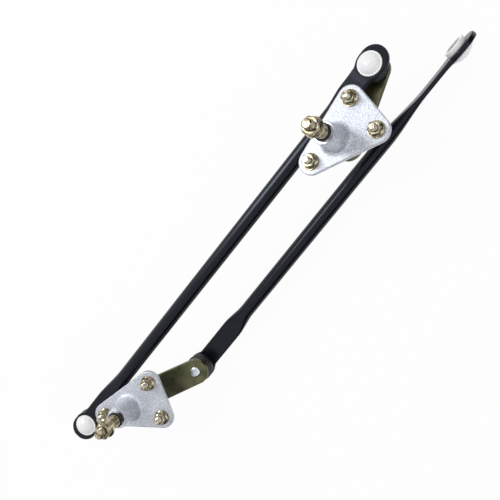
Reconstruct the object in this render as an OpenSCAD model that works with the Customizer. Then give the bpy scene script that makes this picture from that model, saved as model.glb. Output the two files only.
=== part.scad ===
// Wiper linkage: two cast pivots with spindles and cranks, a connecting link
// that joins the cranks, and a drive link that runs to the motor.
// The origin is on the left spindle axis, at the front face of the left flange.
// +Z runs along the left spindle to its threaded tip, and the apex stud lies at -X.
// Lengths are in millimetres and angles in degrees.

/* [Pose] */
// Direction of the left crank's drive arm, from +X
crank_dir = 7; // [0:1:20]
// Direction of the connecting link, from +X
connecting_dir = 30; // [26:0.5:34]
// Roll of the right spindle about the connecting link
spindle_roll = -16.5; // [-20:0.5:-10]
// Angle from the connecting link to the right crank
right_crank_angle = 20.5; // [20:0.5:40]
// Turn of the right housing against the right crank
right_housing_turn = -30; // [-60:1:0]
// Direction of the drive link, from +X
drive_dir = 30.5; // [20:0.1:32]

/* [Pivot housings] */
// Thickness of the triangular flange
flange_t = 4.5; // [4:0.5:9]
// Spindle axis to the row of the two base studs
stud_row = 28.5; // [26:0.5:32]
// Spacing of the two base studs
stud_pitch = 34; // [30:0.5:38]
// Spindle axis to the apex stud
stud_apex = 26.5; // [26:0.5:32]
// Radius of the flange corners
corner_r = 11; // [9:0.5:12]
// Outer diameter of the spindle tube at its end
tube_d = 19; // [18.5:0.5:20.5]
// Outer diameter of the spindle tube at the flange
tube_base_d = 21; // [20.5:0.5:23]
// Height of the spindle tube above the flange
tube_h = 24.5; // [18:0.5:32]
// Fillet between the tube and the flange
tube_fillet = 4.5; // [2:0.5:5]
// Outer diameter of the boss behind the flange
boss_d = 23; // [20:0.5:25]
// Fillet between the boss and the flange
boss_fillet = 1.2; // [0.5:0.1:1.4]
// Broken edge on the tube and boss ends
edge_break = 0.6; // [0.2:0.1:1]

/* [Bushes and seals] */
// Outer diameter of the spindle bushes
bush_d = 15; // [14.5:0.25:16]
// Length of each bush
bush_len = 12; // [8:0.5:14]
// Bore of the housing between the bushes
relief_d = 13.5; // [13:0.25:14]
// Outer diameter of the bright end washer
end_washer_d = 17.5; // [16.5:0.5:19]
// Thickness of the bright end washer
end_washer_t = 1.5; // [0.8:0.1:2.5]
// Outer diameter of the rubber shaft seal
seal_d = 14.4; // [14:0.2:17]
// Height of the rubber shaft seal above the clip
seal_h = 2.2; // [2:0.1:5]
// Outer diameter of the retaining clip
clip_d = 14; // [13.6:0.2:15]
// Thickness of the retaining clip
clip_t = 1.2; // [0.8:0.1:1.6]
// Outer diameter of the thrust washer
thrust_d = 21; // [18:0.5:24]
// Thickness of the thrust washer
thrust_t = 1.5; // [1:0.1:2]

/* [Spindles] */
// Diameter of the spindle in its bushes
spindle_d = 12; // [11:0.25:12.5]
// Diameter of the clip groove
groove_d = 10.6; // [9.5:0.1:10.8]
// Plain length of spindle above the seal
shoulder_len = 3.4; // [1:0.1:6]
// Length of the tapered seat for the wiper arm
taper_len = 11; // [8:0.5:14]
// Diameter at the small end of the taper
taper_d = 9.4; // [8.6:0.1:10]
// Major diameter of the spindle thread
thread_d = 8; // [7:0.5:8]
// Thread left bare between the taper and the nut
nut_stand = 1.3; // [0.5:0.1:3]
// Thread that stands out of the nut
thread_tip = 6.6; // [5:0.2:10]
// Diameter of the spindle's riveted end in the crank
spindle_tail_d = 10; // [9:0.5:11]
// Diameter of the rivet head on the spindle tail
tail_head_d = 14; // [13:0.5:17]
// Thickness of the rivet head on the spindle tail
tail_head_t = 2; // [1:0.1:2.5]

/* [Spindle nuts] */
// Width across the flats
spindle_nut_af = 13; // [12:0.5:14]
// Height of the nut with its flange
spindle_nut_h = 8; // [6:0.5:9]
// Diameter of the flange
spindle_nut_flange_d = 16.5; // [16:0.5:18]

/* [Flange studs] */
// Diameter of the studs
stud_d = 6; // [5:0.5:6.5]
// Diameter of the stud head at the back of the flange
stud_head_d = 10; // [9:0.5:12]
// Thickness of the stud head
stud_head_t = 2.5; // [1.5:0.1:3]
// Stud that stands out of the nut
stud_tip = 5.5; // [4.5:0.5:9]
// Width of the stud nut across the flats
stud_nut_af = 10; // [9:0.5:11]
// Height of the stud nut with its flange
stud_nut_h = 6; // [5:0.5:7]
// Diameter of the stud nut's flange
stud_nut_flange_d = 12.6; // [12.5:0.1:13.5]
// Diameter of the washer under the stud nut
stud_washer_d = 14; // [13:0.5:15]
// Thickness of the washer under the stud nut
stud_washer_t = 1.2; // [0.8:0.1:1.6]

/* [Cranks] */
// Thickness of the stamped crank plate
crank_t = 4; // [3:0.25:5]
// Width of the crank at the spindle
crank_hub_w = 26; // [24:0.5:30]
// Width of the crank at its ball studs
crank_end_w = 24; // [20:0.5:26]
// Left spindle to the drive ball stud
drive_arm = 63.5; // [58:0.5:72]
// Left spindle to the connecting ball stud
connecting_arm = 60; // [58:0.5:72]
// Right spindle to the connecting ball stud
right_arm = 64.5; // [58:0.5:72]

/* [Link tubes] */
// Outer diameter of the link tubes
link_d = 13.2; // [12:0.2:14]
// Wall of the link tubes
link_wall = 1.6; // [1:0.1:2.5]
// Thickness of the flattened tube ends
flat_t = 4; // [3.2:0.1:4.2]
// Thickness of the coined eye round a ball socket
eye_t = 4.4; // [4.3:0.1:5.5]
// Connecting link, between its ball centres
connecting_len = 426; // [380:1:480]
// Drive link, between its ball centres
drive_len = 365; // [330:1:420]
// Turn of the drive link's motor end about the link
motor_twist = 101; // [60:1:120]
// Flat length at the connecting link's left end
left_flat = 32; // [24:1:50]
// Forming length from flat to round at that end
left_blend = 40; // [15:1:60]
// Flat length at the connecting link's right end
right_flat = 26; // [24:1:50]
// Forming length from flat to round at that end
right_blend = 22; // [15:1:60]
// Flat length at the drive link's crank end
drive_flat = 48; // [24:1:60]
// Forming length from flat to round at that end
drive_blend = 26; // [15:1:60]
// Flat length at the drive link's motor end
motor_flat = 42; // [24:1:60]
// Forming length from flat to round at that end
motor_blend = 50; // [30:1:90]
// Gap between the flanges and the connecting link
link_gap = 3.5; // [1:0.1:4]

/* [Ball joints] */
// Diameter of the balls
ball_d = 16; // [15:0.2:16.2]
// Crank face to the ball centre
ball_h = 11.4; // [10.8:0.1:14]
// Crank's back face to the drive link's ball centre; its motor eye passes below the right crank
drive_ball_h = 15.6; // [10.8:0.1:18]
// Ball centre to the middle of the link's eye
eye_drop = 2; // [1.5:0.1:3]
// Diameter of the stud's neck
neck_d = 9; // [8:0.5:10]
// Diameter of the stud's collar on the crank
collar_d = 15; // [13:0.5:16]
// Thickness of the stud's collar
collar_t = 2; // [1:0.1:2.5]
// Diameter of the riveted shank
shank_d = 8; // [7:0.5:8.5]
// Diameter of the rivet head
rivet_d = 10; // [9.5:0.5:13]
// Height of the rivet head
rivet_t = 1.6; // [1:0.1:2]
// Width of the eye that holds a socket
eye_d = 25; // [23:0.5:28]
// Ball centre to the tip of the link
eye_reach = 16.5; // [14.5:0.5:20]
// Diameter of a nylon socket in its eye
socket_d = 18.4; // [18.2:0.1:19]
// Diameter of the white cap
cap_d = 20.5; // [19.5:0.5:22]
// Height of the cap's plain rim
cap_rim_t = 1.2; // [0.8:0.1:2]
// Step from the cap's rim in to its dome
cap_step = 1.3; // [0.5:0.1:1.6]
// Height of the cap's dome above its rim
dome_h = 4.6; // [4.4:0.1:6]
// Diameter of the socket's snap lip
lip_d = 20; // [19.5:0.5:21]
// Depth of the socket's snap lip
lip_t = 4.5; // [3.6:0.1:5]
// Diameter of the socket's mouth
mouth_d = 15; // [14:0.1:15.2]
// Width of the eye at the motor end
motor_eye_d = 28; // [27:0.5:32]
// Ball centre to the tip of the motor end
motor_reach = 17.5; // [16:0.5:22]
// Diameter of the cap at the motor end
motor_cap_d = 25; // [22:0.5:26]
// Outer diameter of the rubber boots
boot_d = 26; // [25:0.5:29]
// Wall of the rubber boots
boot_wall = 1.6; // [1:0.1:2]

/* [Fits] */
// Radial running gap of a spindle in its bushes
run_gap = 0.05; // [0.02:0.01:0.1]
// Radial gap round a ball in its socket
ball_gap = 0.1; // [0.05:0.01:0.2]
// Axial gap between pieces that turn on each other
turn_gap = 0.35; // [0.3:0.05:0.6]
// Radial gap of pieces fixed in or on each other
fit_gap = 0.04; // [0.02:0.01:0.08]

/* [Hidden] */
$fn = 72;
// Points round a formed link section, a multiple of 4, and sections along a forming length
loft_points = 36;
loft_steps = 9;
// Points along a fillet or the side of a boot
arc_steps = 8;
// Pitch diameter of a thread as a share of its major diameter
pitch_share = 0.9;
// Broken edge at the end of a thread as a share of its diameter
thread_break = 1 / 8;
// Height of a nut's flange as a share of the nut, and its top bevel as a share of its width
nut_flange_share = 1 / 5;
nut_bevel_share = 1 / 12;
// Mouth of the retaining clip as a share of its groove
clip_mouth_share = 0.8;
// Extra length of a cutting tool past the face it cuts
cut = 1;
// Inset of a straight side from the round ends that it joins, so that they cross cleanly
side_inset = 0.02;

// Levels along a spindle, from the front face of its flange
link_axis_z = -(flange_t + link_gap + link_d / 2);
ball_z = link_axis_z - eye_drop;
crank_z = ball_z - ball_h;
crank_back_z = crank_z - crank_t;
drive_ball_z = crank_back_z - drive_ball_h;
drive_axis_z = drive_ball_z - eye_drop;
boss_z = crank_z + thrust_t + turn_gap;
clip_z = tube_h + end_washer_t + turn_gap;
seal_top_z = clip_z + clip_t + seal_h;
taper_z = seal_top_z + shoulder_len;
thread_z = taper_z + taper_len;
spindle_nut_z = thread_z + nut_stand;
spindle_tip_z = spindle_nut_z + spindle_nut_h + thread_tip;

// Stud places on a flange, seen along the spindle
stud_places = [[-stud_apex, 0], [stud_row, -stud_pitch / 2], [stud_row, stud_pitch / 2]];
stud_nut_z = stud_washer_t;
stud_tip_z = stud_nut_z + stud_nut_h + stud_tip;

// Levels of a ball joint, from the ball centre towards its cap
eye_top = eye_drop + eye_t / 2;
eye_bottom = eye_drop - eye_t / 2;
lip_bottom = eye_bottom - lip_t;

cast_colour = [0.78, 0.78, 0.80];
steel_colour = [0.80, 0.80, 0.78];
zinc_colour = [0.76, 0.65, 0.36];
crank_colour = [0.42, 0.42, 0.20];
paint_colour = [0.06, 0.06, 0.08];
nylon_colour = [0.95, 0.95, 0.94];
rubber_colour = [0.04, 0.04, 0.04];
bronze_colour = [0.60, 0.46, 0.28];

// Frames: each module places its children in the frame that it names

// Left crank: X runs from the spindle to the drive ball stud
module in_left_crank() {
    rotate([0, 0, crank_dir]) children();
}

// Connecting link: X runs along the tube axis from the left eye
module in_connecting_link() {
    in_left_crank()
        translate([-connecting_arm, 0, link_axis_z])
            rotate([0, 0, connecting_dir - crank_dir]) children();
}

// Right eye of the connecting link: Z is parallel to the right spindle
module in_right_eye() {
    in_connecting_link() translate([connecting_len, 0, 0]) rotate([spindle_roll, 0, 0]) children();
}

// Right crank: X runs from the spindle to the ball stud, with the origin on its flange
module in_right_crank() {
    in_right_eye()
        rotate([0, 0, right_crank_angle])
            translate([-right_arm, 0, -link_axis_z]) children();
}

// Right housing: the apex stud lies at -X
module in_right_housing() {
    in_right_crank() rotate([0, 0, right_housing_turn]) children();
}

// Drive link: X runs along the tube axis from the crank end's eye
module in_drive_link() {
    in_left_crank()
        translate([drive_arm, 0, drive_axis_z])
            rotate([0, 0, drive_dir - crank_dir]) children();
}

// Motor end of the drive link: Z points out of the cap
module in_motor_eye() {
    in_drive_link() translate([drive_len, 0, 0]) rotate([motor_twist, 0, 0]) children();
}

// Ball joints: the origin is the ball centre and Z points out of the cap
module in_left_ball() {
    in_connecting_link() translate([0, 0, -eye_drop]) children();
}
module in_right_ball() {
    in_right_eye() translate([0, 0, -eye_drop]) children();
}
module in_drive_ball() {
    in_drive_link() rotate([180, 0, 0]) translate([0, 0, -eye_drop]) children();
}
module in_motor_ball() {
    in_motor_eye() translate([0, 0, -eye_drop]) children();
}

// Shared shapes

// Outline of a plate along X that narrows from a hub of radius r0, not drawn here, to a round
// end of radius r1
module tapered_outline(r0, r1, len) {
    side = acos((r0 - r1) / len);
    hub = (r0 - side_inset) * [cos(side), sin(side)];
    end = [len, 0] + (r1 - side_inset) * [cos(side), sin(side)];
    translate([len, 0]) circle(r1);
    polygon([[hub.x, -hub.y], [end.x, -end.y], end, hub]);
}

// Outward normal of the side from a to b of an outline that lies on its left
function outward(a, b) = [b.y - a.y, a.x - b.x] / norm(b - a);

// Triangle with round corners on the stud places
module flange_outline() {
    count = len(stud_places);
    for (place = stud_places) translate(place) circle(corner_r);
    polygon([
        for (i = [0:count - 1])
            let (a = stud_places[i], b = stud_places[(i + 1) % count])
            let (side = (corner_r - side_inset) * outward(a, b))
            each [a + side, b + side]
    ]);
}

// Points of a fillet that runs from a shaft of radius r out to a plane at level z;
// side is 1 for a shaft above the plane and -1 for one below it
function fillet_points(r, fillet, z, side) = [
    for (i = [0:arc_steps])
        let (a = 90 * i / arc_steps)
        [r + fillet * (1 - cos(a)), z + side * fillet * (1 - sin(a))]
];

function reversed(list) = [for (i = [len(list) - 1:-1:0]) list[i]];

// Flat ring standing on z = 0
module ring(outer_d, inner_d, t) {
    difference() {
        cylinder(d = outer_d, h = t);
        translate([0, 0, -cut]) cylinder(d = inner_d, h = t + 2 * cut);
    }
}

// Hexagon nut with a pressed flange, standing on z = 0
module flange_nut(af, h, flange_d, bore_d) {
    flange_h = nut_flange_share * h;
    bevel = nut_bevel_share * af;
    corner_d = af / cos(30);
    difference() {
        union() {
            cylinder(d = flange_d, h = flange_h / 2);
            translate([0, 0, flange_h / 2]) cylinder(d1 = flange_d, d2 = af, h = flange_h);
            intersection() {
                cylinder(d = corner_d, h = h, $fn = 6);
                union() {
                    cylinder(d = corner_d + cut, h = h - bevel);
                    translate([0, 0, h - bevel]) cylinder(d1 = corner_d, d2 = af - bevel, h = bevel);
                }
            }
        }
        translate([0, 0, -cut]) cylinder(d = bore_d, h = h + 2 * cut);
    }
}

// Pivot housing: flange, spindle tube in front of it and bearing boss behind it
module pivot_housing() {
    tube_r = tube_d / 2;
    base_r = tube_base_d / 2;
    boss_r = boss_d / 2;
    color(cast_colour)
        difference() {
            union() {
                translate([0, 0, -flange_t]) linear_extrude(flange_t) flange_outline();
                rotate_extrude()
                    polygon(concat(
                        [[0, boss_z], [boss_r - edge_break, boss_z], [boss_r, boss_z + edge_break]],
                        fillet_points(boss_r, boss_fillet, -flange_t, -1),
                        reversed(fillet_points(base_r, tube_fillet, 0, 1)),
                        [[tube_r, tube_h - edge_break], [tube_r - edge_break, tube_h], [0, tube_h]]
                    ));
            }
            translate([0, 0, boss_z - cut]) cylinder(d = relief_d, h = tube_h - boss_z + 2 * cut);
            translate([0, 0, boss_z - cut]) cylinder(d = bush_d, h = bush_len + cut);
            translate([0, 0, tube_h - bush_len]) cylinder(d = bush_d, h = bush_len + cut);
            for (place = stud_places) translate(place) {
                translate([0, 0, -flange_t - cut])
                    cylinder(d = stud_d + 2 * fit_gap, h = flange_t + 2 * cut);
                translate([0, 0, -flange_t - cut])
                    cylinder(d = stud_head_d + 2 * fit_gap, h = stud_head_t + cut);
            }
        }
}

// Sintered bush, from z upwards
module bush(z) {
    color(bronze_colour)
        translate([0, 0, z]) ring(bush_d - 2 * fit_gap, spindle_d + 2 * run_gap, bush_len);
}

// Bright washer on the end of the spindle tube
module end_washer() {
    color(steel_colour)
        translate([0, 0, tube_h]) ring(end_washer_d, spindle_d + 2 * turn_gap, end_washer_t);
}

// Studs with their heads let into the back of the flange; the thread in the nut is drawn
// at its pitch diameter and the free end at its major diameter
module studs() {
    tip_break = thread_break * stud_d;
    nut_top = stud_nut_z + stud_nut_h;
    color(steel_colour)
        for (place = stud_places) translate(place) {
            translate([0, 0, -flange_t]) cylinder(d = stud_head_d, h = stud_head_t);
            translate([0, 0, -flange_t]) cylinder(d = stud_d, h = flange_t + stud_nut_z);
            cylinder(d = pitch_share * stud_d, h = nut_top + cut);
            translate([0, 0, nut_top]) cylinder(d = stud_d, h = stud_tip - tip_break);
            translate([0, 0, stud_tip_z - tip_break])
                cylinder(d1 = stud_d, d2 = stud_d - 2 * tip_break, h = tip_break);
        }
}

module stud_washers() {
    color(zinc_colour)
        for (place = stud_places) translate(place)
            ring(stud_washer_d, stud_d + 2 * fit_gap, stud_washer_t);
}

module stud_nuts() {
    color(zinc_colour)
        for (place = stud_places) translate(concat(place, stud_nut_z))
            flange_nut(stud_nut_af, stud_nut_h, stud_nut_flange_d, pitch_share * stud_d + 2 * fit_gap);
}

// Spindle: rivet head and tail in the crank, bearing length, clip groove, taper and thread,
// which is drawn at its pitch diameter up to the top of the nut
module spindle() {
    spindle_r = spindle_d / 2;
    thread_r = thread_d / 2;
    pitch_r = pitch_share * thread_r;
    tip_break = thread_break * thread_d;
    groove_top = clip_z + clip_t + fit_gap;
    nut_top = spindle_nut_z + spindle_nut_h;
    color(zinc_colour)
        rotate_extrude()
            polygon([
                [0, crank_back_z - tail_head_t],
                [tail_head_d / 2 - edge_break, crank_back_z - tail_head_t],
                [tail_head_d / 2, crank_back_z - tail_head_t + edge_break],
                [tail_head_d / 2, crank_back_z],
                [spindle_tail_d / 2, crank_back_z], [spindle_tail_d / 2, crank_z],
                [spindle_r, crank_z], [spindle_r, clip_z - fit_gap],
                [groove_d / 2, clip_z - fit_gap], [groove_d / 2, groove_top],
                [spindle_r, groove_top], [spindle_r, taper_z],
                [taper_d / 2, thread_z], [pitch_r, thread_z],
                [pitch_r, nut_top], [thread_r, nut_top],
                [thread_r, spindle_tip_z - tip_break],
                [thread_r - tip_break, spindle_tip_z], [0, spindle_tip_z]
            ]);
}

module spindle_nut() {
    color(zinc_colour)
        translate([0, 0, spindle_nut_z])
            flange_nut(spindle_nut_af, spindle_nut_h, spindle_nut_flange_d,
                pitch_share * thread_d + 2 * fit_gap);
}

// Washer between the crank and the end of the boss
module thrust_washer() {
    color(nylon_colour)
        translate([0, 0, crank_z]) ring(thrust_d, spindle_d + 2 * fit_gap, thrust_t);
}

// Open ring in the spindle's groove
module retaining_clip() {
    mouth = clip_mouth_share * groove_d;
    color(steel_colour)
        translate([0, 0, clip_z])
            difference() {
                ring(clip_d, groove_d + 2 * fit_gap, clip_t);
                translate([0, -mouth / 2, -cut]) cube([clip_d, mouth, clip_t + 2 * cut]);
            }
}

// Rubber ring round the spindle, on top of the clip
module shaft_seal() {
    seal_r = seal_d / 2;
    spindle_r = spindle_d / 2 + fit_gap;
    low_z = clip_z + clip_t + fit_gap;
    lip_r = (seal_r + spindle_r) / 2;
    color(rubber_colour)
        rotate_extrude()
            polygon([
                [spindle_r, low_z], [seal_r, low_z], [seal_r, (low_z + seal_top_z) / 2],
                [lip_r, seal_top_z], [spindle_r, seal_top_z]
            ]);
}

// Crank plate with one round-ended arm for each length; a negative length runs to -X
module crank(arms) {
    color(crank_colour)
        translate([0, 0, crank_back_z])
            difference() {
                linear_extrude(crank_t) {
                    circle(d = crank_hub_w);
                    for (arm = arms)
                        rotate(arm < 0 ? 180 : 0)
                            tapered_outline(crank_hub_w / 2, crank_end_w / 2, abs(arm));
                }
                translate([0, 0, -cut])
                    cylinder(d = spindle_tail_d + 2 * fit_gap, h = crank_t + 2 * cut);
                for (arm = arms) translate([arm, 0, -cut])
                    cylinder(d = shank_d + 2 * fit_gap, h = crank_t + 2 * cut);
            }
}

// Ball stud, riveted through the crank, with its ball at height stand above it
module ball_stud(stand) {
    color(steel_colour) {
        sphere(d = ball_d);
        translate([0, 0, -stand]) cylinder(d = neck_d, h = stand);
        translate([0, 0, -stand]) cylinder(d = collar_d, h = collar_t);
        translate([0, 0, -stand - crank_t]) cylinder(d = shank_d, h = crank_t + collar_t);
        translate([0, 0, -stand - crank_t - rivet_t])
            cylinder(d1 = shank_d, d2 = rivet_d, h = rivet_t);
    }
}

// Nylon socket: domed cap on the eye, body through it and snap lip behind it
module ball_socket(cap_diameter) {
    rim_top = eye_top + cap_rim_t;
    base_r = cap_diameter / 2 - cap_step;
    dome_r = (pow(base_r, 2) + pow(dome_h, 2)) / (2 * dome_h);
    color(nylon_colour)
        difference() {
            union() {
                translate([0, 0, eye_top]) cylinder(d = cap_diameter, h = cap_rim_t);
                intersection() {
                    translate([0, 0, rim_top + dome_h - dome_r]) sphere(dome_r);
                    translate([0, 0, rim_top]) cylinder(r = dome_r + cut, h = dome_h + cut);
                }
                translate([0, 0, lip_bottom]) cylinder(d = socket_d, h = eye_top - lip_bottom);
                translate([0, 0, lip_bottom]) cylinder(d = lip_d, h = lip_t);
            }
            sphere(d = ball_d + 2 * ball_gap);
            translate([0, 0, lip_bottom - cut]) cylinder(d = mouth_d, h = cut - lip_bottom);
        }
}

// Rubber boot that closes the gap between an eye and its crank
module boot(stand) {
    bottom = turn_gap - stand;
    height = eye_bottom - bottom;
    top_r = lip_d / 2 + fit_gap;
    foot_r = collar_d / 2 + turn_gap;
    bulge = boot_d / 2 - top_r - boot_wall;
    function side(u) = top_r + boot_wall + bulge * sin(180 * u) - (top_r - foot_r) * pow(u, 3);
    color(rubber_colour)
        rotate_extrude()
            polygon(concat(
                [for (i = [0:arc_steps])
                    let (u = i / arc_steps) [side(u), eye_bottom - height * u]],
                [[foot_r, bottom], [foot_r, bottom + boot_wall],
                 [top_r, lip_bottom - boot_wall], [top_r, eye_bottom]]
            ));
}

// Width of a tube of the link's girth when it is pressed to thickness t
function pressed_width(t) = t + PI * (link_d - t) / 2;

// Round-sided section of a pressed tube of thickness t, at distance x along the link and
// turned about it; the first point moves on by whole steps, so that round sections match up
function pressed_section(x, t, turn) = [
    let (step = 360 / loft_points, shift = round(turn / step), half = (pressed_width(t) - t) / 2)
    for (i = [0:loft_points - 1])
        let (
            a = step * (i + 0.5 - shift),
            y = sign(cos(a)) * half + t / 2 * cos(a),
            z = t / 2 * sin(a)
        )
        [x, y * cos(turn) - z * sin(turn), y * sin(turn) + z * cos(turn)]
];

// Smooth step from 0 to 1
function eased(u) = u * u * (3 - 2 * u);

// Thickness of the pressed tube at share u of a forming length
function formed_t(u) = flat_t + (link_d - flat_t) * eased(u);

// Link tube along X, pressed flat at both ends; the far end is turned about X
module formed_tube(len, near_flat, near_blend, far_flat, far_blend, turn) {
    shares = [for (i = [0:loft_steps]) i / loft_steps];
    sections = concat(
        [pressed_section(0, flat_t, 0)],
        [for (u = shares) pressed_section(near_flat + near_blend * u, formed_t(u), 0)],
        [for (u = reversed(shares)) pressed_section(len - far_flat - far_blend * u, formed_t(u), turn)],
        [pressed_section(len, flat_t, turn)]
    );
    count = len(sections);
    n = loft_points;
    polyhedron(
        points = [for (section = sections) each section],
        faces = concat(
            [[for (i = [0:n - 1]) i]],
            [for (s = [0:count - 2], i = [0:n - 1])
                let (j = (i + 1) % n) [s * n + i, (s + 1) * n + i, (s + 1) * n + j, s * n + j]],
            [[for (i = [n - 1:-1:0]) (count - 1) * n + i]]
        )
    );
}

// Coined eye at a link's end, with its tip at -X
module eye(width, reach) {
    tip = reach - width / 2;
    translate([0, 0, -eye_t / 2]) {
        cylinder(d = width, h = eye_t);
        translate([-tip, 0, 0]) cylinder(d = width, h = eye_t);
        translate([-tip, -width / 2, 0]) cube([tip, width, eye_t]);
    }
}

// Hole for a socket in a link's eye
module socket_hole() {
    translate([0, 0, -eye_t / 2 - cut]) cylinder(d = socket_d + 2 * fit_gap, h = eye_t + 2 * cut);
}

// Link with an eye at both ends: formed tube, open inside where it is round
module link(len, near_flat, near_blend, far_flat, far_blend, turn, far_eye_d, far_reach) {
    round_start = near_flat + near_blend;
    round_len = len - round_start - far_flat - far_blend;
    color(paint_colour)
        difference() {
            union() {
                formed_tube(len, near_flat, near_blend, far_flat, far_blend, turn);
                eye(eye_d, eye_reach);
                translate([len, 0, 0]) rotate([turn, 0, 0]) rotate([0, 0, 180])
                    eye(far_eye_d, far_reach);
            }
            socket_hole();
            translate([len, 0, 0]) rotate([turn, 0, 0]) socket_hole();
            translate([round_start, 0, 0])
                rotate([0, 90, 0]) cylinder(d = link_d - 2 * link_wall, h = round_len);
        }
}

// Sub-parts of the left pivot

module left_pivot_housing() { pivot_housing(); }
module left_upper_bush() { bush(tube_h - bush_len); }
module left_lower_bush() { bush(boss_z); }
module left_end_washer() { end_washer(); }
module left_studs() { studs(); }
module left_stud_washers() { stud_washers(); }
module left_stud_nuts() { stud_nuts(); }

// Sub-parts of the left crank

module left_spindle() { in_left_crank() spindle(); }
module left_crank() { in_left_crank() crank([drive_arm, -connecting_arm]); }
module left_thrust_washer() { in_left_crank() thrust_washer(); }
module left_retaining_clip() { in_left_crank() retaining_clip(); }
module left_shaft_seal() { in_left_crank() shaft_seal(); }
module left_spindle_nut() { in_left_crank() spindle_nut(); }
module left_connecting_ball_stud() { in_left_ball() ball_stud(ball_h); }
module drive_ball_stud() { in_drive_ball() ball_stud(drive_ball_h); }

// Sub-parts of the connecting link

module connecting_link() {
    in_connecting_link()
        link(connecting_len, left_flat, left_blend, right_flat, right_blend,
            spindle_roll, eye_d, eye_reach);
}
module left_connecting_socket() { in_left_ball() ball_socket(cap_d); }
module right_connecting_socket() { in_right_ball() ball_socket(cap_d); }
module left_connecting_boot() { in_left_ball() boot(ball_h); }
module right_connecting_boot() { in_right_ball() boot(ball_h); }

// Sub-parts of the right pivot

module right_pivot_housing() { in_right_housing() pivot_housing(); }
module right_upper_bush() { in_right_housing() bush(tube_h - bush_len); }
module right_lower_bush() { in_right_housing() bush(boss_z); }
module right_end_washer() { in_right_housing() end_washer(); }
module right_studs() { in_right_housing() studs(); }
module right_stud_washers() { in_right_housing() stud_washers(); }
module right_stud_nuts() { in_right_housing() stud_nuts(); }

// Sub-parts of the right crank

module right_spindle() { in_right_crank() spindle(); }
module right_crank() { in_right_crank() crank([right_arm]); }
module right_thrust_washer() { in_right_crank() thrust_washer(); }
module right_retaining_clip() { in_right_crank() retaining_clip(); }
module right_shaft_seal() { in_right_crank() shaft_seal(); }
module right_spindle_nut() { in_right_crank() spindle_nut(); }
module right_connecting_ball_stud() { in_right_ball() ball_stud(ball_h); }

// Sub-parts of the drive link

module drive_link() {
    in_drive_link()
        link(drive_len, drive_flat, drive_blend, motor_flat, motor_blend,
            motor_twist, motor_eye_d, motor_reach);
}
module drive_socket() { in_drive_ball() ball_socket(cap_d); }
module drive_boot() { in_drive_ball() boot(drive_ball_h); }
module motor_socket() { in_motor_ball() ball_socket(motor_cap_d); }

left_pivot_housing();
left_upper_bush();
left_lower_bush();
left_end_washer();
left_studs();
left_stud_washers();
left_stud_nuts();
left_spindle();
left_crank();
left_thrust_washer();
left_retaining_clip();
left_shaft_seal();
left_spindle_nut();
left_connecting_ball_stud();
drive_ball_stud();
connecting_link();
left_connecting_socket();
right_connecting_socket();
left_connecting_boot();
right_connecting_boot();
right_pivot_housing();
right_upper_bush();
right_lower_bush();
right_end_washer();
right_studs();
right_stud_washers();
right_stud_nuts();
right_spindle();
right_crank();
right_thrust_washer();
right_retaining_clip();
right_shaft_seal();
right_spindle_nut();
right_connecting_ball_stud();
drive_link();
drive_socket();
drive_boot();
motor_socket();
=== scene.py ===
import bmesh
import bpy
import numpy as np
from mathutils import Matrix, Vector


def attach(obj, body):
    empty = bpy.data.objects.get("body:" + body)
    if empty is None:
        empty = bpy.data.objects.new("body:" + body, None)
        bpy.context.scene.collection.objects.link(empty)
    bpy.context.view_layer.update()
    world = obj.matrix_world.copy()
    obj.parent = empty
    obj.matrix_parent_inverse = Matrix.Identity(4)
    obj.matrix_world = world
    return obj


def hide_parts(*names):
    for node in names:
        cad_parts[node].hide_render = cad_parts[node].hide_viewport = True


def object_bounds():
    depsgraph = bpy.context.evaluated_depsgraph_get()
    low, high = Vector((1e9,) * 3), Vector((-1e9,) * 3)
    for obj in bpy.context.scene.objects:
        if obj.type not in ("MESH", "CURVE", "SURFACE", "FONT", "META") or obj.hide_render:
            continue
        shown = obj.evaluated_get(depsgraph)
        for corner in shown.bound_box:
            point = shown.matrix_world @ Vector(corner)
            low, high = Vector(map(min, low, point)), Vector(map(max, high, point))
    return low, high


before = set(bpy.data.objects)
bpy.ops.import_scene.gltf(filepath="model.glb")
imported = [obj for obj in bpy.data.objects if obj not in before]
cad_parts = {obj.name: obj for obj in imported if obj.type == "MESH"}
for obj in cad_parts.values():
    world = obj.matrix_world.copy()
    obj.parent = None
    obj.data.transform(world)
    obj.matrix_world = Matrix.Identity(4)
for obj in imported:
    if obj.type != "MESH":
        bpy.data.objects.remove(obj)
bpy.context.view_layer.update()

mm = 0.001  # shapes are worked out in millimetres and written to the mesh in metres


# where the bodies lie: turns and moves as 4 x 4 matrices, chained from the left spindle

def turned(axis, degrees):
    c, s = np.cos(np.radians(degrees)), np.sin(np.radians(degrees))
    i, j = {"x": (1, 2), "z": (0, 1)}[axis]
    m = np.eye(4)
    m[i, i] = m[j, j] = c
    m[i, j], m[j, i] = -s, s
    return m


def moved(x, y, z):
    m = np.eye(4)
    m[:3, 3] = x, y, z
    return m


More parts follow.
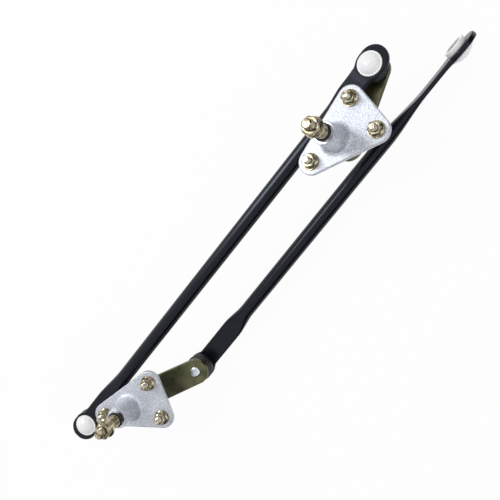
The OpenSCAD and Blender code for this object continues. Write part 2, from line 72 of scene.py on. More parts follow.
pose = {
    "crankDir": 7, "connectingDir": 30, "spindleRoll": -16.5, "rightCrankAngle": 20.5,
    "rightHousingTurn": -30, "driveDir": 30.5, "motorTwist": 101,
    "driveArm": 63.5, "connectingArm": 60, "rightArm": 64.5,
    "connectingSpan": 426, "driveSpan": 365,
    "connectingAxis": -14.6, "driveAxis": -49.6, "eyeDrop": 2,
}
leftHousing = np.eye(4)
leftCrank = turned("z", pose["crankDir"])
connecting = (leftCrank @ moved(-pose["connectingArm"], 0, pose["connectingAxis"])
              @ turned("z", pose["connectingDir"] - pose["crankDir"]))
rightEye = connecting @ moved(pose["connectingSpan"], 0, 0) @ turned("x", pose["spindleRoll"])
rightCrank = (rightEye @ turned("z", pose["rightCrankAngle"])
              @ moved(-pose["rightArm"], 0, -pose["connectingAxis"]))
rightHousing = rightCrank @ turned("z", pose["rightHousingTurn"])
drive = (leftCrank @ moved(pose["driveArm"], 0, pose["driveAxis"])
         @ turned("z", pose["driveDir"] - pose["crankDir"]))
motorEye = drive @ moved(pose["driveSpan"], 0, 0) @ turned("x", pose["motorTwist"])
toBall = moved(0, 0, -pose["eyeDrop"])
leftBall, rightBall = connecting @ toBall, rightEye @ toBall
driveBall, motorBall = drive @ turned("x", 180) @ toBall, motorEye @ toBall
sides = {
    "left": {"housing": leftHousing, "crank": leftCrank},
    "right": {"housing": rightHousing, "crank": rightCrank},
}


# surfaces: every grid is rows x columns x 3, and its columns run once round the piece

def roundAngles(cols):
    return np.arange(cols) * 2 * np.pi / cols


def eased(u):  # smooth step: three u squared less two u cubed, held between 0 and 1
    u = np.clip(u, 0, 1)
    return u * u * (3 - 2 * u)


def roundCorners(corners, steps=5, closed=False):
    # each corner r, z, radius becomes an arc that touches both of its sides
    c = np.array(corners, float)
    p, radius = c[:, :2], c[:, 2].copy()
    if not closed:
        radius[[0, -1]] = 0
    toPrev, toNext = np.roll(p, 1, 0) - p, np.roll(p, -1, 0) - p
    toPrev /= np.linalg.norm(toPrev, axis=1, keepdims=True)
    toNext /= np.linalg.norm(toNext, axis=1, keepdims=True)
    half = np.arccos(np.clip((toPrev * toNext).sum(1), -0.999999, 0.999999)) / 2
    sweep = np.pi - 2 * half
    middle = toPrev + toNext
    middle /= np.maximum(np.linalg.norm(middle, axis=1, keepdims=True), 1e-9)
    centre = p + middle * (radius / np.sin(half))[:, None]
    first = p + toPrev * (radius / np.tan(half))[:, None] - centre
    last = p + toNext * (radius / np.tan(half))[:, None] - centre
    t = np.linspace(0, 1, steps + 1)[None, :, None]
    w = sweep[:, None, None]
    arcs = centre[:, None] + (np.sin((1 - t) * w) * first[:, None] + np.sin(t * w) * last[:, None]) / np.sin(w)
    arcs = np.where(radius[:, None, None] > 0, arcs, p[:, None]).reshape(-1, 2)
    gap = np.linalg.norm(arcs - np.roll(arcs, 1, 0), axis=1)
    gap[0] = 1
    return arcs[gap > 1e-5]


def revolved(profile, cols=96):
    # each profile point r, z carried once round the z axis
    angle = roundAngles(cols)
    r, z = profile[:, :1], profile[:, 1:]
    return np.stack([r * np.cos(angle), r * np.sin(angle), z + 0 * angle], -1)


def threadRows(radius, pitch, depth, low, high, tipBreak, cols=96, rowsPerPitch=14):
    # a rod that dips by a rounded wave of z / pitch less one turn per lap, with a bevelled tip; the wave is
    # 0.7 of a cosine plus a half, held between 0 and 1, so that crests and roots are flat
    angle = roundAngles(cols)
    z = np.arange(low, high + 1e-6, pitch / rowsPerPitch)[:, None]
    wave = np.clip(0.7 * np.cos(2 * np.pi * z / pitch - angle) + 0.5, 0, 1)
    r = radius - depth * wave * eased((z - low) / pitch)
    r = np.minimum(r, radius - np.maximum(z - (high - tipBreak), 0))
    rows = np.stack([r * np.cos(angle), r * np.sin(angle), z + 0 * angle], -1)
    tip = np.zeros((1, cols, 3)) + [0, 0, high]
    return np.concatenate([rows, tip])


def roundOutline(circles, cols=360):
    # in every direction, the circle x, y, r that reaches furthest that way
    c = np.array(circles, float)
    angle = roundAngles(cols)
    normal = np.stack([np.cos(angle), np.sin(angle)], -1)
    furthest = np.argmax(c[:, :2] @ normal.T + c[:, 2:], 0)
    return c[furthest, :2], c[furthest, 2:], normal


def outlineRows(outline, profile):
    # each profile point inset, z draws the outline moved in by inset, at height z
    centre, radius, normal = outline
    flat = centre + (radius - profile[:, 0][:, None, None]) * normal
    return np.concatenate([flat, np.broadcast_to(profile[:, 1][:, None, None], flat.shape[:2] + (1,))], -1)


def addPiece(name, body, replaced, material, grids, place, closed=False, caps=False, sharp=38):
    # joins each point to its neighbours along rows and columns; caps close flat open ends
    points, faces, count = [], [], 0
    for grid in grids:
        rows, cols = grid.shape[:2]
        index = count + np.arange(rows * cols).reshape(rows, cols)
        low, high = (index, np.roll(index, -1, 0)) if closed else (index[:-1], index[1:])
        faces += np.stack([low, np.roll(low, -1, 1), np.roll(high, -1, 1), high], -1).reshape(-1, 4).tolist()
        if caps:
            faces += [index[0][::-1].tolist(), index[-1].tolist()]
        points.append(grid.reshape(-1, 3))
        count += rows * cols
    placed = np.concatenate(points) @ place[:3, :3].T + place[:3, 3]
    mesh = bpy.data.meshes.new(name)
    mesh.from_pydata((placed * mm).tolist(), [], faces)
    work = bmesh.new()
    work.from_mesh(mesh)
    bmesh.ops.remove_doubles(work, verts=work.verts, dist=1e-6)
    bmesh.ops.recalc_face_normals(work, faces=work.faces)
    work.to_mesh(mesh)
    work.free()
    mesh.shade_smooth()
    mesh.set_sharp_from_angle(angle=np.radians(sharp))
    mesh.materials.append(material)
    piece = bpy.data.objects.new(name, mesh)
    bpy.context.scene.collection.objects.link(piece)
    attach(piece, body)
    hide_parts(*replaced)


# materials

def colour(hexCode):  # sRGB hex to the linear values that shaders take
    s = np.array([int(hexCode[i:i + 2], 16) for i in (1, 3, 5)]) / 255
    linear = np.where(s <= 0.04045, s / 12.92, ((s + 0.055) / 1.055) ** 2.4)
    return (*linear.tolist(), 1.0)


def addNode(tree, kind, settings=None, values=None, links=None):
    node = tree.nodes.new(kind)
    for key, value in (settings or {}).items():
        setattr(node, key, value)
    for key, value in (values or {}).items():
        node.inputs[key].default_value = value
    for key, output in (links or {}).items():
        tree.links.new(output, node.inputs[key])
    return node


def startMaterial(name, metallic):
    material = bpy.data.materials.new(name)
    material.use_nodes = True
    tree = material.node_tree
    shader = tree.nodes["Principled BSDF"]
    shader.inputs["Metallic"].default_value = metallic
    where = addNode(tree, "ShaderNodeTexCoord").outputs["Object"]
    return material, tree, shader, where


def noise(tree, where, size, detail, distortion=0):  # soft noise with a grain of size millimetres
    return addNode(tree, "ShaderNodeTexNoise",
                   values={"Scale": 1 / (size * mm), "Detail": detail, "Distortion": distortion},
                   links={"Vector": where}).outputs["Fac"]


def cells(tree, where, size):  # distance to the middle of cells of size millimetres
    return addNode(tree, "ShaderNodeTexVoronoi", values={"Scale": 1 / (size * mm)},
                   links={"Vector": where}).outputs["Distance"]


def spread(tree, value, start=0, end=1, low=0, high=1):  # what runs from start to end now runs from low to high
    return addNode(tree, "ShaderNodeMapRange",
                   values={"From Min": start, "From Max": end, "To Min": low, "To Max": high},
                   links={"Value": value}).outputs["Result"]


def blend(tree, share, first, second):  # from the first hex colour to the second
    return addNode(tree, "ShaderNodeMixRGB", values={"Color1": colour(first), "Color2": colour(second)},
                   links={"Fac": share}).outputs["Color"]


def shaded(tree, share, tone, dark):  # the tone times the dark value, by that share
    return addNode(tree, "ShaderNodeMixRGB", {"blend_type": "MULTIPLY"}, {"Fac": share},
                   {"Color1": tone, "Color2": dark}).outputs["Color"]


def coatWith(tree, shader, tone, matt, grain, strength, depth):
    # colour, roughness where it varies, and a relief of the grain, depth in metres
    bump = addNode(tree, "ShaderNodeBump", values={"Strength": strength, "Distance": depth}, links={"Height": grain})
    tree.links.new(tone, shader.inputs["Base Color"])
    tree.links.new(bump.outputs["Normal"], shader.inputs["Normal"])
    if matt is not None:
        tree.links.new(matt, shader.inputs["Roughness"])


def dieCastAluminium():
    # pressure die-cast and tumbled: pale cool grey, sandy and flecked, matt with soft glints
    finish = {"light": "#e4e8f1", "dark": "#cbd0dc", "blotch": 9, "sand": 1.3, "pit": 2.2}
    material, tree, shader, where = startMaterial("dieCastAluminium", 0.6)
    sand = noise(tree, where, finish["sand"], 3)
    patch = spread(tree, noise(tree, where, finish["blotch"], 4), 0.1, 0.8)
    speck = spread(tree, cells(tree, where, finish["pit"]), 0.03, 0.16, low=0.72)
    fleck = spread(tree, sand, 0.36, 0.64, low=0.62)
    pitted = shaded(tree, 0.6, blend(tree, patch, finish["dark"], finish["light"]), speck)
    matt = spread(tree, sand, low=0.4, high=0.56)
    coatWith(tree, shader, shaded(tree, 1, pitted, fleck), matt, sand, 0.55, 0.0003)
    return material


def passivatedZinc(name, base, tint, deep, roughness, tintSize):
    # zinc plate dipped in chromate: metal whose thin film drifts between two tints, dull in patches
    material, tree, shader, where = startMaterial(name, 1)
    haze = noise(tree, where, 1.4, 4)
    ramp = addNode(tree, "ShaderNodeValToRGB", links={"Fac": noise(tree, where, tintSize, 3, 0.6)})
    ramp.color_ramp.elements[0].position, ramp.color_ramp.elements[1].position = 0.3, 0.72
    ramp.color_ramp.elements[0].color, ramp.color_ramp.elements[1].color = colour(deep), colour(tint)
    ramp.color_ramp.elements.new(0.5).color = colour(base)
    matt = spread(tree, haze, low=roughness - 0.1, high=roughness + 0.14)
    coatWith(tree, shader, ramp.outputs["Color"], matt, haze, 0.05, 0.0002)
    return material


def blackEnamel():
    # sprayed and stoved enamel over steel tube: near black with a cool sheen, slight orange peel, fine dust
    finish = {"black": "#07090d", "dust": "#15181f", "peel": 3.2, "speck": 0.7}
    material, tree, shader, where = startMaterial("blackEnamel", 0)
    shader.inputs["Specular IOR Level"].default_value = 0.3
    shader.inputs["Specular Tint"].default_value = colour("#dfe8ff")
    speck = noise(tree, where, finish["speck"], 5)
    tone = blend(tree, spread(tree, speck, 0.56, 0.74), finish["black"], finish["dust"])
    matt = spread(tree, speck, low=0.18, high=0.32)
    coatWith(tree, shader, tone, matt, noise(tree, where, finish["peel"], 2), 0.06, 0.0003)
    return material


def mouldedNylon():
    # injection-moulded natural nylon: white, slightly waxy, faint flow marks
    finish = {"white": "#fbfbfa", "waxy": "#eeeef1", "flow": 7, "skin": 0.6}
    material, tree, shader, where = startMaterial("mouldedNylon", 0)
    shader.inputs["IOR"].default_value = 1.53
    skin = noise(tree, where, finish["skin"], 3)
    tone = blend(tree, noise(tree, where, finish["flow"], 2, 1.2), finish["waxy"], finish["white"])
    coatWith(tree, shader, tone, spread(tree, skin, low=0.26, high=0.4), skin, 0.05, 0.0002)
    return material


def mouldedRubber():
    # compression-moulded nitrile rubber: charcoal, matt, with a pale bloom in patches
    finish = {"black": "#0f0f12", "bloom": "#26262b", "patch": 5, "skin": 0.5}
    material, tree, shader, where = startMaterial("mouldedRubber", 0)
    patch = noise(tree, where, finish["patch"], 5)
    tone = blend(tree, spread(tree, patch, 0.5, 0.8), finish["black"], finish["bloom"])
    matt = spread(tree, patch, low=0.42, high=0.68)
    coatWith(tree, shader, tone, matt, noise(tree, where, finish["skin"], 3), 0.15, 0.0002)
    return material


def sinteredBronze():
    # pressed and sintered powder, soaked in oil: dull brown gold with open pores
    finish = {"gold": "#9c7a48", "pore": "#4d3b22", "grain": 0.5}
    material, tree, shader, where = startMaterial("sinteredBronze", 0.9)
    shader.inputs["Roughness"].default_value = 0.5
    grain = cells(tree, where, finish["grain"])
    tone = blend(tree, spread(tree, grain, 0.1, 0.35), finish["pore"], finish["gold"])
    coatWith(tree, shader, tone, None, grain, 0.2, 0.0001)
    return material


castAluminium = dieCastAluminium()
yellowZinc = passivatedZinc("yellowPassivatedZinc", "#988f76", "#d4cebb", "#463e2a", 0.17, 4)
oliveZinc = passivatedZinc("olivePassivatedZinc", "#5f6047", "#757259", "#4d503b", 0.36, 14)
clearZinc = passivatedZinc("clearPassivatedZinc", "#cfd2d8", "#e6e8ea", "#b3b9c4", 0.27, 7)
strawZinc = passivatedZinc("strawPassivatedZinc", "#b9b4a3", "#e0ddd3", "#6a6350", 0.2, 3)  # thin film: pale straw
enamel = blackEnamel()
nylon = mouldedNylon()
rubber = mouldedRubber()
bronze = sinteredBronze()
print("materials ready:", len(bpy.data.materials))

innerFinish = {"bush": bronze, "clip": clearZinc, "thrust": nylon}  # inner pieces keep their solids
for nodeName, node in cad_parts.items():
    for word, material in innerFinish.items():
        if word in nodeName:
            node.data.materials.clear()
            node.data.materials.append(material)


# cast housings: one closed skin from the boss over the flange to the tube, and back down the bore

housing = {
    "studs": [(-26.5, 0), (28.5, -17), (28.5, 17)], "cornerR": 11, "flangeT": 4.5,
    "edgeFront": 1.0, "edgeBack": 0.8, "draft": 0.25, "bossR": 11.5, "bossZ": -26.15, "bossFillet": 1.2,
    "tubeR": 9.5, "baseR": 10.5, "tubeH": 24.5, "tubeFillet": 4.5, "boreR": 7.5,
    "boreWall": 2, "rimInset": 1.06, "lead": 6,
}


def housingSkin(h):
    # points a lead away only turn a fillet's corner and are left out of the rows
    outline = roundOutline([(x, y, h["cornerR"]) for x, y in h["studs"]])
    cols = outline[2].shape[0]
    t = h["flangeT"]
    below = roundCorners([
        (h["boreR"], h["bossZ"], 0.4), (h["bossR"], h["bossZ"], 0.6),
        (h["bossR"], -t, h["bossFillet"]), (h["bossR"] + h["lead"], -t, 0)])[:-1]
    below = np.concatenate([[[h["boreR"], h["bossZ"] + h["boreWall"]]], below])
    rim = roundCorners([
        (h["lead"], -t, 0), (h["draft"], -t, h["edgeBack"]), (0, -t / 2, 0.2),
        (h["draft"], 0, h["edgeFront"]), (h["rimInset"], 0, 0)])[1:]
    above = roundCorners([
        (h["baseR"] + h["lead"], 0, 0), (h["baseR"], 0, h["tubeFillet"]),
        (h["tubeR"], h["tubeH"], 0.6), (h["boreR"], h["tubeH"], 0)], steps=12)[1:]
    return np.concatenate([revolved(below, cols), outlineRows(outline, rim), revolved(above, cols)])


for side, at in sides.items():
    addPiece(side + "HousingCasting", side + "_pivot_body", [side + "_pivot_housing"],
             castAluminium, [housingSkin(housing)], at["housing"], closed=True)
print("housings cast")


# flange studs, washers and nuts: three of each on a housing

stud = {"r": 3, "headR": 5, "headT": 2.5, "proud": 0.2, "nutTop": 7.2, "tip": 12.7, "tipBreak": 0.75,
        "pitch": 1.0, "depth": 0.5, "hiddenThread": 3, "washerR": 7, "washerT": 1.2, "washerGap": 0.05,
        "nutAf": 10, "nutH": 6, "nutFlangeR": 6.3, "nutGap": 0.06}


def threadedStud(s, flangeT):
    back = -flangeT - s["proud"]
    lower = roundCorners([
        (0, back, 0), (s["headR"], back, 0.5), (s["headR"], back + s["headT"], 0.2),
        (s["r"], back + s["headT"], 0), (s["r"], 0, 0)])
    return np.concatenate([revolved(lower), threadRows(
        s["r"], s["pitch"], s["depth"], s["nutTop"] - s["hiddenThread"], s["tip"], s["tipBreak"])])


def washerRing(outerR, innerR, low, high, edge):
    return revolved(roundCorners([
        (innerR, low, 0.05), (outerR, low, edge), (outerR, high, edge), (innerR, high, 0.05)], closed=True))


# shares of the width across the flats; the flange is a fifth of the height, countersink and foot are millimetres
nutShape = {"cornerCut": 0.02, "skirt": 0.47, "crown": 0.46, "land": 0.4, "flangeParts": 5, "bevelParts": 12,
            "countersink": 0.45, "countersinkDepth": 0.5, "footEdge": 0.25}


def flangeNut(af, height, flangeR, boreR, n=nutShape, cols=180):
    # hexagon wall, widened by the flange's cone below and cut by the bevel's cone above
    angle = roundAngles(cols)
    hexR = af / 2 / np.cos((angle + np.pi / 6) % (np.pi / 3) - np.pi / 6)
    cornerR = af / np.sqrt(3)
    hexR = np.minimum(hexR, cornerR - n["cornerCut"] * af)
    flangeH, bevel = height / n["flangeParts"], af / n["bevelParts"]
    z = np.concatenate([np.linspace(flangeH / 2, 1.9 * flangeH, 14), np.linspace(2 * flangeH, height - bevel, 6),
                        np.linspace(height - bevel, height, 10)[1:]])[:, None]
    skirt = flangeR - (flangeR - n["skirt"] * af) * eased((z - flangeH / 2) / (1.5 * flangeH)) ** 0.7
    skirt = np.where(z > 1.95 * flangeH, 0, skirt)
    crown = cornerR - (cornerR - n["crown"] * af) * np.clip((z - height + bevel) / bevel, 0, 1)
    r = np.minimum(np.maximum(hexR, skirt), crown)
    wall = np.stack([r * np.cos(angle), r * np.sin(angle), z + 0 * angle], -1)
    foot = roundCorners([(boreR, 0, 0), (flangeR, 0, n["footEdge"]), (flangeR, flangeH / 2, 0)])
    mouth = roundCorners([(n["land"] * af, height, 0), (boreR + n["countersink"], height, 0.1),
                          (boreR, height - n["countersinkDepth"], 0)])
    return np.concatenate([revolved(foot, cols)[:-1], wall, revolved(mouth, cols)])


def onStuds(grid, z):
    return [grid + [x, y, z] for x, y in housing["studs"]]


for side, at in sides.items():
    body = side + "_pivot_body"
    addPiece(side + "FlangeStuds", body, [side + "_studs"], strawZinc,
             onStuds(threadedStud(stud, housing["flangeT"]), 0), at["housing"])
    addPiece(side + "StudWashers", body, [side + "_stud_washers"], yellowZinc,
             onStuds(washerRing(stud["washerR"], stud["r"] + stud["washerGap"], 0, stud["washerT"], 0.3), 0),
             at["housing"], closed=True)
    addPiece(side + "StudNuts", body, [side + "_stud_nuts"], yellowZinc,
             onStuds(flangeNut(stud["nutAf"], stud["nutH"], stud["nutFlangeR"], stud["r"] + stud["nutGap"]),
                     stud["washerT"]), at["housing"], closed=True, sharp=28)
print("studs and nuts threaded")


# spindles with their end washer, seal and nut

spindle = {"r": 6, "tailR": 5, "headR": 7, "headZ": -34, "back": -32, "front": -28, "seat": 33.15, "taperTop": 44.15,
           "taperR": 4.7, "threadR": 4, "pitch": 1.25, "depth": 0.62, "nutZ": 45.45, "nutTop": 53.45, "tip": 60.05,
           "tipBreak": 1.0, "relief": 0.3, "threadStart": 0.7, "nutAf": 13, "nutFlangeR": 8.25, "nutGap": 0.06,
           "sealR": 7.2, "sealLow": 27.6, "sealHigh": 29.75, "sealGap": 0.04,
           "washerR": 8.75, "washerBoreR": 6.35, "washerLow": 24.5, "washerHigh": 26.0}


def threadedSpindle(s):
    lower = roundCorners([
        (0, s["headZ"], 0), (s["headR"], s["headZ"], 0.8), (s["headR"], s["back"], 0.2), (s["tailR"], s["back"], 0),
        (s["tailR"], s["front"], 0), (s["r"], s["front"], 0.1), (s["r"], s["seat"], 0.3),
        (s["taperR"], s["taperTop"], 0.3), (s["threadR"], s["taperTop"] + s["relief"], 0.1),
        (s["threadR"], s["taperTop"] + 2 * s["relief"], 0)])
    return np.concatenate([revolved(lower), threadRows(
        s["threadR"], s["pitch"], s["depth"], s["taperTop"] + s["threadStart"], s["tip"], s["tipBreak"])])


def shaftSeal(s):  # ring with a round shoulder and a thin wiping lip at the shaft
    low, high, r, bore = s["sealLow"], s["sealHigh"], s["sealR"], s["r"] + s["sealGap"]
    middle, lipR = (low + high) / 2, (r + bore) / 2
    return revolved(roundCorners([
        (bore, low, 0.1), (r, low, 0.25), (r, middle, 0.35), (lipR + 0.1, middle + 0.35, 0.2),
        (lipR, high, 0.25), (bore, high, 0.1)], closed=True))


for side, at in sides.items():
    body = side + "_crank_body"
    addPiece(side + "TurnedSpindle", body, [side + "_spindle"], yellowZinc,
             [threadedSpindle(spindle)], at["crank"])
    addPiece(side + "SpindleNut", body, [side + "_spindle_nut"], yellowZinc,
             [flangeNut(spindle["nutAf"], spindle["nutTop"] - spindle["nutZ"], spindle["nutFlangeR"],
                        spindle["threadR"] + spindle["nutGap"]) + [0, 0, spindle["nutZ"]]],
             at["crank"], closed=True, sharp=28)
    addPiece(side + "ShaftSeal", body, [side + "_shaft_seal"], rubber,
             [shaftSeal(spindle)], at["crank"], closed=True)
    addPiece(side + "EndWasher", side + "_pivot_body", [side + "_end_washer"], clearZinc,
             [washerRing(spindle["washerR"], spindle["washerBoreR"],
                         spindle["washerLow"], spindle["washerHigh"], 0.35)],
             at["housing"], closed=True)
print("spindles turned")


# stamped cranks: a plate outline with one rolled edge and one sheared edge

crank = {"hubR": 13, "endR": 12, "back": -32, "front": -28, "roll": 0.9, "shear": 0.25, "margin": 3}


def crankPlate(c, arms):
    outline = roundOutline([(0, 0, c["hubR"])] + [(arm, 0, c["endR"]) for arm in arms])
    return outlineRows(outline, roundCorners([
        (c["margin"], c["back"], 0), (0, c["back"], c["shear"]),
        (0, c["front"], c["roll"]), (c["margin"], c["front"], 0)]))


addPiece("leftCrankPlate", "left_crank_body", ["left_crank"], oliveZinc,
         [crankPlate(crank, [pose["driveArm"], -pose["connectingArm"]])], leftCrank, caps=True)
addPiece("rightCrankPlate", "right_crank_body", ["right_crank"], oliveZinc,
         [crankPlate(crank, [pose["rightArm"]])], rightCrank, caps=True)
print("cranks stamped")


# ball studs: riveted shank with a domed head, collar, neck and ball

ball = {"r": 8, "stand": 11.4, "driveStand": 15.6, "plate": 4, "neckR": 4.5, "collarR": 7.5, "collarT": 2,
        "shankR": 4, "rivetR": 5, "rivetT": 1.6}


def ballStud(b, stand):
    foot = -stand - b["plate"]
    lift = np.linspace(0, np.pi / 2, 9)
    head = np.stack([b["rivetR"] * np.sin(lift), foot - b["rivetT"] * np.cos(lift)], -1)
    stem = roundCorners([
        (b["rivetR"], foot, 0), (b["shankR"], foot, 0), (b["shankR"], -stand, 0), (b["collarR"], -stand, 0.3),
        (b["collarR"], -stand + b["collarT"], 0.3), (b["neckR"], -stand + b["collarT"], 0.6),
        (b["neckR"], -np.sqrt(b["r"] ** 2 - b["neckR"] ** 2), 0)])
    rise = np.linspace(np.arcsin(b["neckR"] / b["r"]), np.pi, 24)[1:]
    globe = np.stack([b["r"] * np.sin(rise), -b["r"] * np.cos(rise)], -1)
    return revolved(np.concatenate([head, stem[1:], globe]))


for name, body, place, stand in (
        ("left_connecting", "left", leftBall, ball["stand"]), ("right_connecting", "right", rightBall, ball["stand"]),
        ("drive", "left", driveBall, ball["driveStand"])):
    addPiece(name + "BallStudTurned", body + "_crank_body", [name + "_ball_stud"], clearZinc,
             [ballStud(ball, stand)], place)


# nylon sockets: domed cap with a gate dimple, body through the eye, snap lip and ball cavity

socket = {"capR": 10.25, "motorCapR": 12.5, "step": 1.3, "eyeTop": 4.2, "eyeBottom": -0.2, "rim": 1.2, "dome": 4.6,
          "bodyR": 9.2, "lipR": 10, "lipBottom": -4.7, "mouthR": 7.5, "cavityR": 8.1, "gateR": 1.6, "gateDepth": 0.25}


def ballSocket(s, capR):
    # the dome is a sphere cap of that width and height, dipped at its middle where it was filled
    rimTop = s["eyeTop"] + s["rim"]
    cavity = np.linspace(0, np.pi - np.arcsin(s["mouthR"] / s["cavityR"]), 20)
    inner = np.stack([s["cavityR"] * np.sin(cavity), s["cavityR"] * np.cos(cavity)], -1)
    outer = roundCorners([
        (s["mouthR"], s["lipBottom"] + 0.5, 0), (s["mouthR"], s["lipBottom"], 0.3), (s["lipR"], s["lipBottom"], 0.6),
        (s["lipR"], s["eyeBottom"], 0.3), (s["bodyR"], s["eyeBottom"], 0.1), (s["bodyR"], s["eyeTop"], 0.1),
        (capR, s["eyeTop"], 0.15), (capR, rimTop, 0.35), (capR - s["step"], rimTop, 0)])
    domeR = capR - s["step"]
    sphereR = (domeR ** 2 + s["dome"] ** 2) / (2 * s["dome"])
    r = np.linspace(domeR - 0.1, 0, 40)
    z = rimTop + s["dome"] - sphereR + np.sqrt(sphereR ** 2 - r ** 2) - s["gateDepth"] * (1 - eased(r / s["gateR"]))
    return revolved(np.concatenate([inner, outer, np.stack([r, z], -1)]))


for name, body, place, capR in (
        ("left_connecting", "connecting_link", leftBall, socket["capR"]),
        ("right_connecting", "connecting_link", rightBall, socket["capR"]),
        ("drive", "drive_link", driveBall, socket["capR"]), ("motor", "drive_link", motorBall, socket["motorCapR"])):
    addPiece(name + "SocketMoulding", body + "_body", [name + "_socket"], nylon,
             [ballSocket(socket, capR)], place)


# rubber boots: a bulged bellows between the eye and the crank

boot = {"top": -0.2, "footGap": 0.35, "topR": 10.04, "footR": 7.85, "wall": 1.6, "shoulder": -6.3,
        "bulgeR": 13, "folds": 3, "fold": 0.55}


def bellowsBoot(b, stand):
    # radius swells by a half sine from top to bottom, rippled by one wave per fold
    u = np.linspace(0, 1, 60)
    bottom = b["footGap"] - stand
    bulge = b["bulgeR"] - b["topR"] - b["wall"]
    outer = b["topR"] + b["wall"] + bulge * np.sin(np.pi * u) - (b["topR"] - b["footR"]) * u ** 3
    outer -= b["fold"] * np.sin(np.pi * u) * (0.5 + 0.5 * np.cos(2 * np.pi * b["folds"] * u))
    z = b["top"] + (bottom - b["top"]) * u
    outside = np.stack([outer, z], -1)
    inside = np.array([(b["footR"], bottom), (b["footR"], bottom + b["wall"]),
                       (b["topR"], b["shoulder"]), (b["topR"], b["top"])])
    return revolved(np.concatenate([outside, inside]))


for name, body, place, stand in (
        ("left_connecting", "connecting_link", leftBall, ball["stand"]),
        ("right_connecting", "connecting_link", rightBall, ball["stand"]),
        ("drive", "drive_link", driveBall, ball["driveStand"])):
    addPiece(name + "BellowsBoot", body + "_body", [name + "_boot"], rubber,
             [bellowsBoot(boot, stand)], place, closed=True)
print("ball joints assembled")


# links: a round tube pressed flat at both ends at constant girth, with a coined eye

tube = {"d": 13.2, "flatT": 4.0, "eyeT": 4.4, "eyeEdge": 1.2, "join": 2.4}
connectingEnds = {"near": {"flat": 32, "blend": 40, "eyeR": 12.5, "reach": 16.5},
                  "far": {"flat": 26, "blend": 22, "eyeR": 12.5, "reach": 16.5}}
driveEnds = {"near": {"flat": 48, "blend": 26, "eyeR": 12.5, "reach": 16.5},
             "far": {"flat": 42, "blend": 50, "eyeR": 14, "reach": 17.5}}


def endStations(end):  # distances from the eye's centre, close together at the tip and the eye
    tip = end["reach"] - end["eyeR"]
    bow = np.linspace(np.pi / 2, 0, 30)
    return np.concatenate([
        -tip - end["eyeR"] * np.sin(bow), np.linspace(-tip, 1.5 * end["eyeR"], 40)[1:],
        np.linspace(1.5 * end["eyeR"], end["flat"], 6)[1:], end["flat"] + end["blend"] * np.linspace(0, 1, 40)[1:]])


def endSection(s, end):
    # half width, half thickness and edge radii at distance s from the eye's centre; eye and tube meet in a
    # fillet: the larger of the two, plus the square of what join exceeds their difference by, over four joins
    tip, eyeR, edge, join = end["reach"] - end["eyeR"], end["eyeR"], tube["eyeEdge"], tube["join"]
    t = tube["flatT"] + (tube["d"] - tube["flatT"]) * eased((s - end["flat"]) / end["blend"])
    pressed = (t + np.pi * (tube["d"] - t) / 2) / 2
    along = np.where(s > 0, s, np.minimum(s + tip, 0))
    eye = np.sqrt(np.maximum(eyeR ** 2 - along ** 2, 0))
    filleted = np.maximum(eye, pressed) + np.maximum(join - np.abs(eye - pressed), 0) ** 2 / (4 * join)
    halfW = np.where(s > 0, filleted, eye)
    leave = eased((s - 0.75 * eyeR) / (0.7 * eyeR))
    halfT = tube["eyeT"] / 2 * (1 - leave) + t / 2 * leave
    edge = edge * (1 - leave) + t / 2 * leave
    rimGap = np.where(s < -tip, np.clip(eyeR + s + tip, 0, edge), edge)
    fall = edge - np.sqrt(np.maximum(edge ** 2 - (edge - rimGap) ** 2, 0))
    return halfW, halfT - fall, np.minimum(edge, halfW), edge - fall


def wholeTurn(turn, cols):  # the nearest turn by whole columns, in degrees
    return round(turn * cols / 360) * 360 / cols


def formedLink(span, ends, turn, cols=96):
    # sections of a box with round edges, from tip to tip; the far end is turned about the tube, and its
    # columns step back by about that turn, so that the round sections meet point to point
    near, far = endStations(ends["near"]), endStations(ends["far"])
    run = np.linspace(near[-1], span - far[-1], 14)[1:-1]
    nearPart, farPart = np.stack(endSection(near, ends["near"])), np.stack(endSection(far, ends["far"]))[:, ::-1]
    runPart = np.repeat(nearPart[:, -1:], len(run), 1)
    halfW, halfT, edgeY, edgeZ = np.concatenate([nearPart, runPart, farPart], 1)[:, :, None]
    x = np.concatenate([near, run, span - far[::-1]])[:, None]
    isFar = np.concatenate([0 * near, 0 * run, 0 * far + 1])[:, None]
    a = roundAngles(cols) + np.pi / cols - np.radians(wholeTurn(turn, cols)) * isFar
    y = np.sign(np.cos(a)) * (halfW - edgeY) + edgeY * np.cos(a)
    z = np.sign(np.sin(a)) * (halfT - edgeZ) + edgeZ * np.sin(a)
    c, s = np.cos(np.radians(turn) * isFar), np.sin(np.radians(turn) * isFar)
    return np.stack([x + 0 * a, y * c - z * s, y * s + z * c], -1)


addPiece("connectingLinkTube", "connecting_link_body", ["connecting_link"], enamel,
         [formedLink(pose["connectingSpan"], connectingEnds, pose["spindleRoll"])], connecting)
addPiece("driveLinkTube", "drive_link_body", ["drive_link"], enamel,
         [formedLink(pose["driveSpan"], driveEnds, pose["motorTwist"])], drive)
print("links formed")


# stage, light and camera

ground = {"half": 6, "drop": 0.0005, "glow": 0.95}  # metres, and how far the sheet shows as plain white
low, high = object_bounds()
corners = [(a * ground["half"], b * ground["half"], low.z - ground["drop"])
           for a, b in ((-1, -1), (1, -1), (1, 1), (-1, 1))]
floorMesh = bpy.data.meshes.new("floor")
floorMesh.from_pydata(corners, [], [(0, 1, 2, 3)])
floor = bpy.data.objects.new("floor", floorMesh)
bpy.context.scene.collection.objects.link(floor)


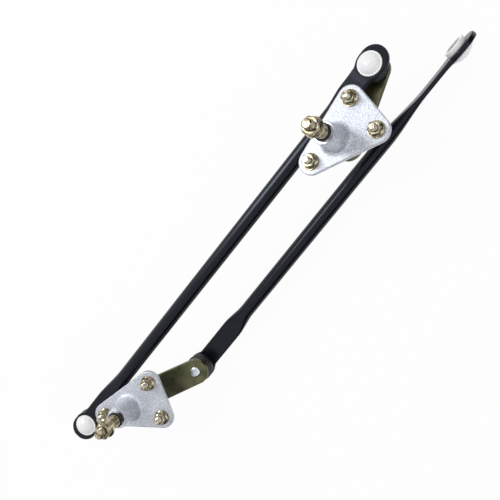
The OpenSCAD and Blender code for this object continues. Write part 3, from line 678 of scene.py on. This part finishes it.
def seenDirectly(tree):  # 1 for rays from the camera, from gloss and through glass
    path = addNode(tree, "ShaderNodeLightPath")
    gloss = addNode(tree, "ShaderNodeMath", {"operation": "MAXIMUM"},
                    links={0: path.outputs["Is Camera Ray"], 1: path.outputs["Is Glossy Ray"]})
    return addNode(tree, "ShaderNodeMath", {"operation": "MAXIMUM"},
                   links={0: gloss.outputs[0], 1: path.outputs["Is Transmission Ray"]}).outputs[0]


paper = bpy.data.materials.new("whitePaper")  # matt white sheet that keeps a faint shadow
paper.use_nodes = True
tree = paper.node_tree
tree.nodes.clear()
matt = addNode(tree, "ShaderNodeBsdfDiffuse", values={"Color": colour("#f4f4f4")})
glow = addNode(tree, "ShaderNodeEmission", values={"Color": (1, 1, 1, 1), "Strength": 1})
share = addNode(tree, "ShaderNodeMath", {"operation": "MULTIPLY"}, {1: ground["glow"]}, {0: seenDirectly(tree)})
mix = addNode(tree, "ShaderNodeMixShader", links={0: share.outputs[0], 1: matt.outputs[0], 2: glow.outputs[0]})
addNode(tree, "ShaderNodeOutputMaterial", links={"Surface": mix.outputs[0]})
floorMesh.materials.append(paper)

studio = {"light": 0.58, "seen": 1}  # strength as light on the object, and as seen directly or in gloss
world = bpy.data.worlds.new("whiteStudio")
bpy.context.scene.world = world
world.use_nodes = True
tree = world.node_tree
tree.nodes.clear()
sky = addNode(tree, "ShaderNodeBackground", values={"Color": (1, 1, 1, 1), "Strength": studio["light"]})
white = addNode(tree, "ShaderNodeBackground", values={"Color": (1, 1, 1, 1), "Strength": studio["seen"]})
mix = addNode(tree, "ShaderNodeMixShader", links={0: seenDirectly(tree), 1: sky.outputs[0], 2: white.outputs[0]})
addNode(tree, "ShaderNodeOutputWorld", links={"Surface": mix.outputs[0]})

view = {"at": (0.32899, 0.1316, 0.51876), "forward": (-0.29994, -0.0571, -0.95225),
        "up": (0.32351, 0.93297, -0.15785), "focalPx": 643.2, "framePx": 500, "sensor": 36}
forward, up = np.array(view["forward"]), np.array(view["up"])
right = np.cross(forward, up)
lens = bpy.data.cameras.new("photoCamera")
lens.sensor_width = view["sensor"]
lens.lens = view["sensor"] * view["focalPx"] / view["framePx"]
lens.clip_start, lens.clip_end = 0.01, 50
camera = bpy.data.objects.new("photoCamera", lens)
axes = np.eye(4)
axes[:3, 0], axes[:3, 1], axes[:3, 2], axes[:3, 3] = right, up, -forward, view["at"]
camera.matrix_world = Matrix(axes.tolist())
bpy.context.scene.collection.objects.link(camera)
bpy.context.scene.camera = camera

# black cards on two sides of the set: only gloss sees them, so metal and enamel get dark edges
cards = {"cardRight": {"at": (1.1, 0.0, 0.3), "along": (0, 1, 0), "size": (2.0, 0.8)},
         "cardFront": {"at": (0.2, -0.85, 0.3), "along": (1, 0, 0), "size": (2.0, 0.8)}}
cloth = bpy.data.materials.new("blackCloth")
cloth.use_nodes = True
clothShader = cloth.node_tree.nodes["Principled BSDF"]
clothShader.inputs["Base Color"].default_value = colour("#0a0a0a")
clothShader.inputs["Roughness"].default_value = 0.9
for cardName, card in cards.items():
    middle, along = np.array(card["at"]), np.array(card["along"]) * card["size"][0] / 2
    rise = np.array([0, 0, card["size"][1] / 2])
    cardMesh = bpy.data.meshes.new(cardName)
    cardMesh.from_pydata([(middle + a * along + b * rise).tolist() for a, b in ((-1, -1), (1, -1), (1, 1), (-1, 1))],
                         [], [(0, 1, 2, 3)])
    cardMesh.materials.append(cloth)
    board = bpy.data.objects.new(cardName, cardMesh)
    board.visible_camera = board.visible_diffuse = board.visible_shadow = False
    bpy.context.scene.collection.objects.link(board)

# the soft box is a strip whose long side stands across the links, for a broad sheen along them
lamps = {"softBox": {"from": (-0.88, 1.02, 1.12), "along": (0.33, -0.57, 0.75), "size": (1.0, 0.35), "watts": 13},
         "fillCard": {"from": (1.3, -0.6, 1.0), "along": (1, 0, -1.3), "size": (1.2, 1.2), "watts": 4.5}}
aim = np.array([0.17, 0.1, 0.0])  # about the middle of the linkage
for lampName, lamp in lamps.items():
    lightData = bpy.data.lights.new(lampName, "AREA")
    lightData.shape, lightData.energy = "RECTANGLE", lamp["watts"]
    lightData.size, lightData.size_y = lamp["size"]
    light = bpy.data.objects.new(lampName, lightData)
    back = np.array(lamp["from"]) / np.linalg.norm(lamp["from"])
    side = np.array(lamp["along"]) - np.dot(lamp["along"], back) * back
    side /= np.linalg.norm(side)
    axes = np.eye(4)
    axes[:3, 0], axes[:3, 1], axes[:3, 2] = side, np.cross(back, side), back
    axes[:3, 3] = aim + np.array(lamp["from"])
    light.matrix_world = Matrix(axes.tolist())
    bpy.context.scene.collection.objects.link(light)
bpy.context.scene.view_settings.view_transform = "Standard"
print("stage lit")
